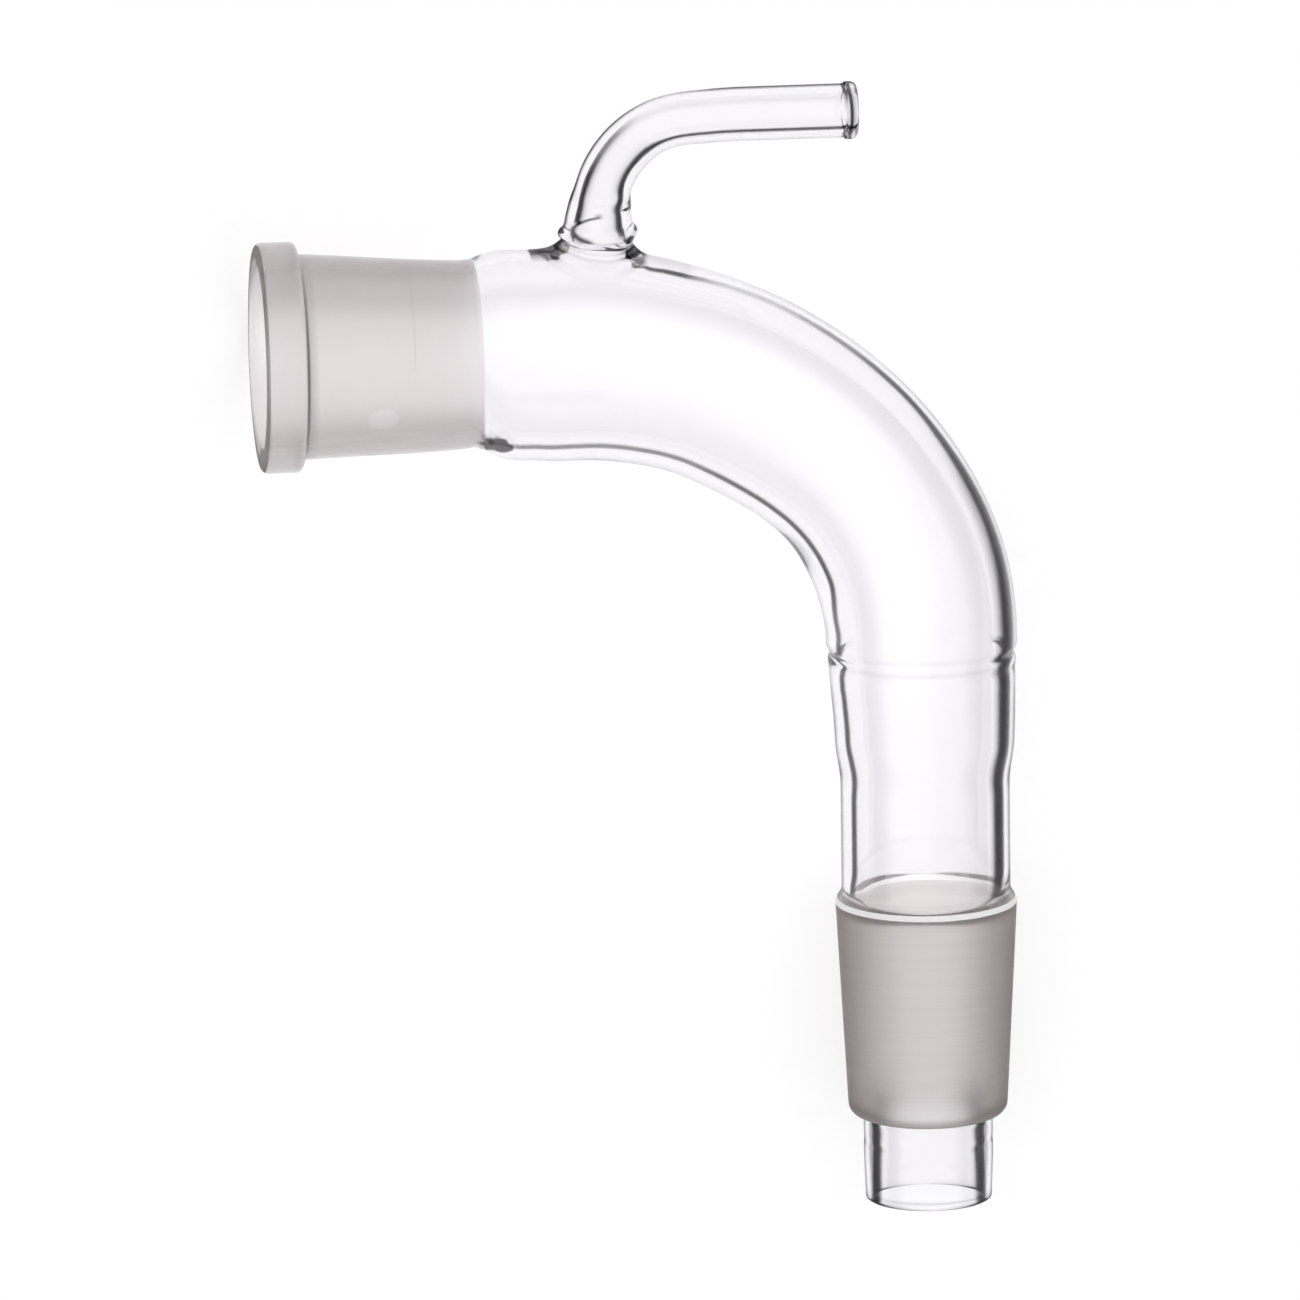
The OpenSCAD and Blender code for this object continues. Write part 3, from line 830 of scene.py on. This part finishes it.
# Middles and half sizes on the bench: a painted dark spot of shade where a drop of thick glass lies,
# and a painted highlight
PAINTED_SPOT_AT, PAINTED_SPOT_SIZE = (bend_x - 4.7, -11.0, 7.8), (2.6, 1.6, 6.0)
PAINTED_HIGHLIGHT_AT, PAINTED_HIGHLIGHT_SIZE = (bend_x - 19.7, -6.2, 9.45), (1.7, 1.1, 3.0)


def new_material(name):
    """An empty material with its nodes and links."""
    material = bpy.data.materials.new(name)
    material.use_nodes = True
    material.node_tree.nodes.clear()
    return material, material.node_tree.nodes, material.node_tree.links


def finish_glass(nodes, links, shader, shade):
    """Lamps shine through the glass, dimmed to a shade, and all other rays see the shader."""
    lamp = nodes.new("ShaderNodeBsdfTransparent")
    lamp.inputs["Color"].default_value = (shade, shade, shade, 1)
    path = nodes.new("ShaderNodeLightPath")
    mix = nodes.new("ShaderNodeMixShader")
    output = nodes.new("ShaderNodeOutputMaterial")
    links.new(path.outputs["Is Shadow Ray"], mix.inputs["Fac"])
    links.new(shader.outputs[0], mix.inputs[1])
    links.new(lamp.outputs[0], mix.inputs[2])
    links.new(mix.outputs[0], output.inputs["Surface"])


def ramp(nodes, links, amount, stops):
    """Colour that an amount from 0 to 1 picks from (place, colour) stops."""
    node = nodes.new("ShaderNodeValToRGB")
    elements = node.color_ramp.elements
    while len(elements) < len(stops):
        elements.new(0.5)
    for element, (place, colour) in zip(elements, stops):
        element.position = place
        element.color = (*colour, 1)
    links.new(amount, node.inputs["Fac"])
    return node.outputs["Color"]


def grey_ramp(nodes, links, amount, stops):
    """The same with (place, grey) stops."""
    return ramp(nodes, links, amount, [(place, (grey, grey, grey)) for place, grey in stops])


def attribute(nodes, name):
    """One of the shades that the mesh holds at its vertices."""
    node = nodes.new("ShaderNodeAttribute")
    node.attribute_name = name
    return node.outputs["Fac"]


def facing_away(nodes):
    """0 where the surface faces the eye, 1 where it turns edge on."""
    node = nodes.new("ShaderNodeLayerWeight")
    node.inputs["Blend"].default_value = 0.5
    return node.outputs["Facing"]


def reckon(nodes, links, operation, a, b):
    """Sum or product of two values, the second of which may be a plain number."""
    node = nodes.new("ShaderNodeMath")
    node.operation = operation
    links.new(a, node.inputs[0])
    if isinstance(b, (int, float)):
        node.inputs[1].default_value = b
    else:
        links.new(b, node.inputs[1])
    return node.outputs[0]


def spot(nodes, links, middle, size, ragged):
    """1 inside a spot about a place on the bench, of half sizes in mm, and 0 around it."""
    place = nodes.new("ShaderNodeTexCoord")
    offset = nodes.new("ShaderNodeVectorMath")
    offset.operation = "SUBTRACT"
    offset.inputs[1].default_value = bench @ (Vector(middle) * MM)
    links.new(place.outputs["Object"], offset.inputs[0])
    stretch = nodes.new("ShaderNodeMapping")
    stretch.inputs["Scale"].default_value = [1 / (k * MM) for k in size]
    links.new(offset.outputs[0], stretch.inputs["Vector"])
    away = nodes.new("ShaderNodeVectorMath")
    away.operation = "LENGTH"
    links.new(stretch.outputs[0], away.inputs[0])
    noise = nodes.new("ShaderNodeTexNoise")
    noise.inputs["Scale"].default_value = 700
    links.new(place.outputs["Object"], noise.inputs["Vector"])
    uneven = reckon(nodes, links, "MULTIPLY", noise.outputs["Fac"], ragged)
    uneven = reckon(nodes, links, "ADD", uneven, away.outputs["Value"])
    scaled = reckon(nodes, links, "MULTIPLY", uneven, 0.6)
    return grey_ramp(nodes, links, scaled, [(0.0, 1), (0.75, 0.95), (0.88, 0)])


def tinted_glass(nodes, links, amount, dark, roughness=0):
    """Glass that turns from clear to a dark tint by an amount from 0 to 1."""
    shader = nodes.new("ShaderNodeBsdfGlass")
    shader.inputs["Roughness"].default_value = roughness
    shader.inputs["IOR"].default_value = IOR
    tint = ramp(nodes, links, amount, [(0.0, CLEAR_TINT), (1.0, dark)])
    links.new(tint, shader.inputs["Color"])
    return shader


def clear_material(name, roughness):
    """Fire polished glass with painted shade: a little grey at the very edge, in bands where it turns
    edge on, and in a painted dark spot where a drop of thick glass lies.
    """
    material, nodes, links = new_material(name)
    facing = facing_away(nodes)
    amount = attribute(nodes, "ink")
    # Painted shade: dark bands where the surface turns edge on, as strong as its edge, rim and shade
    # tones
    for stops, where in (([(0.72, 0), (0.86, 1)], "edge"), ([(0.52, 0), (0.7, 1)], "rim"),
                         ([(0.36, 0), (0.46, 0.7), (0.56, 0.7), (0.66, 0)], "shade")):
        band = grey_ramp(nodes, links, facing, stops)
        more = reckon(nodes, links, "MULTIPLY", band, attribute(nodes, where))
        amount = reckon(nodes, links, "ADD", amount, more)
    # Painted shade in a dark spot where a drop of thick glass lies
    drop = spot(nodes, links, PAINTED_SPOT_AT, PAINTED_SPOT_SIZE, 1)
    amount = reckon(nodes, links, "ADD", amount, drop)
    finish_glass(nodes, links, tinted_glass(nodes, links, amount, PAINTED_SHADE_TINT, roughness), 1)
    return material


def bore_material():
    """The glass of the bore, with painted shade: dark where light grazes it from inside the wall, and
    along painted marks.
    """
    material, nodes, links = new_material("bore_glass")
    fresnel = nodes.new("ShaderNodeFresnel")
    fresnel.inputs["IOR"].default_value = IOR
    graze = fresnel.outputs[0]
    spread = reckon(nodes, links, "MULTIPLY", graze, attribute(nodes, "reach"))
    band = grey_ramp(nodes, links, spread,
                     [(0.058, 0), (0.068, 0.12), (0.078, 0.45), (0.088, 0.8),
                      (0.105, 0.93), (0.14, 0.95), (0.2, 0.85), (0.33, 0.7)])
    limit = grey_ramp(nodes, links, graze, [(0.3, 1), (0.75, 0)])
    amount = reckon(nodes, links, "MULTIPLY", band, limit)
    amount = reckon(nodes, links, "MULTIPLY", amount, attribute(nodes, "line"))
    amount = reckon(nodes, links, "ADD", amount, attribute(nodes, "ink"))
    finish_glass(nodes, links, tinted_glass(nodes, links, amount, PAINTED_LINE_TINT), 1)
    return material


def mixed(nodes, links, factor, a, b):
    """The colour a turned towards the plain colour b by a factor from 0 to 1."""
    node = nodes.new("ShaderNodeMix")
    node.data_type = "RGBA"
    node.inputs["B"].default_value = (*b, 1)
    links.new(factor, node.inputs["Factor"])
    links.new(a, node.inputs["A"])
    return node.outputs["Result"]


def grinding_marks(nodes, links, along):
    """Noise drawn out into fine marks round a ground joint whose axis is number along."""
    place = nodes.new("ShaderNodeTexCoord")
    stretch = nodes.new("ShaderNodeMapping")
    stretch.inputs["Scale"].default_value = [MARKS_FINE if k == along else MARKS_LONG
                                             for k in range(3)]
    marks = nodes.new("ShaderNodeTexNoise")
    marks.inputs["Scale"].default_value = 1
    marks.inputs["Detail"].default_value = 3
    links.new(place.outputs["Object"], stretch.inputs["Vector"])
    links.new(stretch.outputs[0], marks.inputs["Vector"])
    return marks.outputs["Fac"]


def ground_material(name, along, tones, depth=0.035):
    """Matt ground glass with fine marks, a painted highlight, and painted shade that makes it darker
    where it turns away.
    """
    material, nodes, links = new_material(name)
    shader = nodes.new("ShaderNodeBsdfGlass")
    shader.inputs["Roughness"].default_value = GROUND_ROUGH
    shader.inputs["IOR"].default_value = IOR
    # Rays pass such a surface at least twice, so each pass takes the square root of the tone
    tone = ramp(nodes, links, facing_away(nodes),
                [(at, [c ** 0.5 for c in colour]) for at, colour in tones])
    grain = grey_ramp(nodes, links, grinding_marks(nodes, links, along),
                      [(0.3, 1 - depth), (0.7, 1)])
    grained = nodes.new("ShaderNodeMix")
    grained.data_type = "RGBA"
    grained.blend_type = "MULTIPLY"
    grained.inputs["Factor"].default_value = 1
    links.new(tone, grained.inputs["A"])
    links.new(grain, grained.inputs["B"])
    ink = attribute(nodes, "ink")
    colour = mixed(nodes, links, ink, grained.outputs["Result"], MATT_DARK_TINT)
    # Painted highlight: a pale spot where a lamp's reflection falls
    painted_highlight = spot(nodes, links, PAINTED_HIGHLIGHT_AT, PAINTED_HIGHLIGHT_SIZE, 0.3)
    colour = mixed(nodes, links, painted_highlight, colour, PAINTED_HIGHLIGHT_TINT)
    links.new(colour, shader.inputs["Color"])
    finish_glass(nodes, links, shader, 0.94)
    return material


def chalky_material():
    """The sloping edge above the ground cone, where the grinding left it white."""
    material, nodes, links = new_material("chalky_edge")
    tone = ramp(nodes, links, facing_away(nodes),
                [(0.0, (1, 0.98, 0.98)), (0.9, (0.98, 0.955, 0.955))])
    matt = nodes.new("ShaderNodeBsdfDiffuse")
    links.new(tone, matt.inputs["Color"])
    milky = nodes.new("ShaderNodeBsdfTranslucent")
    links.new(tone, milky.inputs["Color"])
    mix = nodes.new("ShaderNodeMixShader")
    mix.inputs["Fac"].default_value = 0.3
    links.new(matt.outputs[0], mix.inputs[1])
    links.new(milky.outputs[0], mix.inputs[2])
    finish_glass(nodes, links, mix, 0.97)
    return material


# Tones of the matt glass, from where it faces the eye to where it turns away: its own grey, darkened
# by painted shade towards the edges; the rim's dark tones are painted shade, and the mouth's far side
# is a copy with painted tones of its own
SOCKET_TONES = [(0.0, (0.77, 0.74, 0.735)), (0.08, (0.82, 0.785, 0.78)),
                (0.142, (0.84, 0.8, 0.795)), (0.18, (0.81, 0.76, 0.755)),
                (0.234, (0.74, 0.68, 0.675))]
MOUTH_TONES = [(0.0, (0.74, 0.72, 0.725)), (1.0, (0.6, 0.58, 0.585))]
CONE_TONES = [(0.0, (0.8, 0.76, 0.75)), (0.05, (0.79, 0.745, 0.735)),
              (0.08, (0.77, 0.725, 0.715)), (0.125, (0.71, 0.665, 0.655)),
              (0.185, (0.64, 0.59, 0.58)), (0.262, (0.53, 0.48, 0.47)),
              (0.362, (0.44, 0.4, 0.39)), (0.72, (0.36, 0.325, 0.315))]
RIM_TONES = [(0.0, (0.34, 0.31, 0.3)), (1.0, (0.22, 0.2, 0.19))]

glass = build_glass()
for material in (clear_material("clear_glass", 0), clear_material("worn_glass", WORN_ROUGH),
                 bore_material(), ground_material("ground_socket", 0, SOCKET_TONES, 0.015),
                 ground_material("ground_cone", 1, CONE_TONES),
                 ground_material("ground_rim", 0, RIM_TONES),
                 ground_material("ground_mouth", 0, MOUTH_TONES), chalky_material()):
    glass.data.materials.append(material)
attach(glass, "root")
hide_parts("adapter")


# ---------------------------------------------------------------- floor, light, camera
SKY_STRENGTH = 1.345
FLOOR_GREY = 0.93
SENSOR = 36                     # millimetres
FOCAL = 553.8
DISTANCE = 2623.3
YAW, PITCH, ROLL = (math.radians(a) for a in (6.077, 12.944, 0.718))
AIM_RIGHT, AIM_UP = -35.53, -41.27


def floor():
    """A plain pale floor, not part of the object."""
    bpy.ops.mesh.primitive_plane_add(size=4, location=(0, 0, 0))
    plane = bpy.context.object
    plane.name = "floor"
    material, nodes, links = new_material("floor")
    shader = nodes.new("ShaderNodeBsdfPrincipled")
    shader.inputs["Base Color"].default_value = (FLOOR_GREY, FLOOR_GREY, FLOOR_GREY, 1)
    shader.inputs["Roughness"].default_value = 0.9
    shader.inputs["Specular IOR Level"].default_value = 0
    output = nodes.new("ShaderNodeOutputMaterial")
    links.new(shader.outputs[0], output.inputs["Surface"])
    plane.data.materials.append(material)


def sky():
    """A soft white studio dome that darkens towards the horizon."""
    world = bpy.data.worlds.new("studio")
    world.use_nodes = True
    nodes, links = world.node_tree.nodes, world.node_tree.links
    nodes.clear()
    place = nodes.new("ShaderNodeTexCoord")
    split = nodes.new("ShaderNodeSeparateXYZ")
    tone = ramp(nodes, links, split.outputs["Z"],
                [(0.0, (0.12, 0.12, 0.13)), (0.35, (0.2, 0.2, 0.21)),
                 (0.6, (1, 1, 1)), (1.0, (1, 1, 1))])
    light = nodes.new("ShaderNodeBackground")
    light.inputs["Strength"].default_value = SKY_STRENGTH
    output = nodes.new("ShaderNodeOutputWorld")
    links.new(place.outputs["Generated"], split.inputs[0])
    links.new(tone, light.inputs["Color"])
    links.new(light.outputs[0], output.inputs["Surface"])
    bpy.context.scene.world = world


def camera():
    """Long lens, looking down on the bench as the photo looks at the standing piece."""
    back = Vector((-math.sin(YAW) * math.cos(PITCH), math.sin(PITCH),
                   math.cos(YAW) * math.cos(PITCH)))
    level = Vector((math.cos(YAW), 0, math.sin(YAW)))
    up = back.cross(level)
    right = level * math.cos(ROLL) - up * math.sin(ROLL)
    up = up * math.cos(ROLL) + level * math.sin(ROLL)
    data = bpy.data.cameras.new("camera")
    data.sensor_width = SENSOR
    data.lens = FOCAL
    eye = bpy.data.objects.new("camera", data)
    bpy.context.collection.objects.link(eye)
    turn = Matrix((right, up, back)).transposed()
    place = back * DISTANCE + right * AIM_RIGHT + up * AIM_UP
    eye.matrix_world = bench @ Matrix.LocRotScale(place * MM, turn.to_quaternion(), None)
    bpy.context.scene.camera = eye


floor()
sky()
camera()
bpy.context.scene.view_settings.view_transform = "Standard"
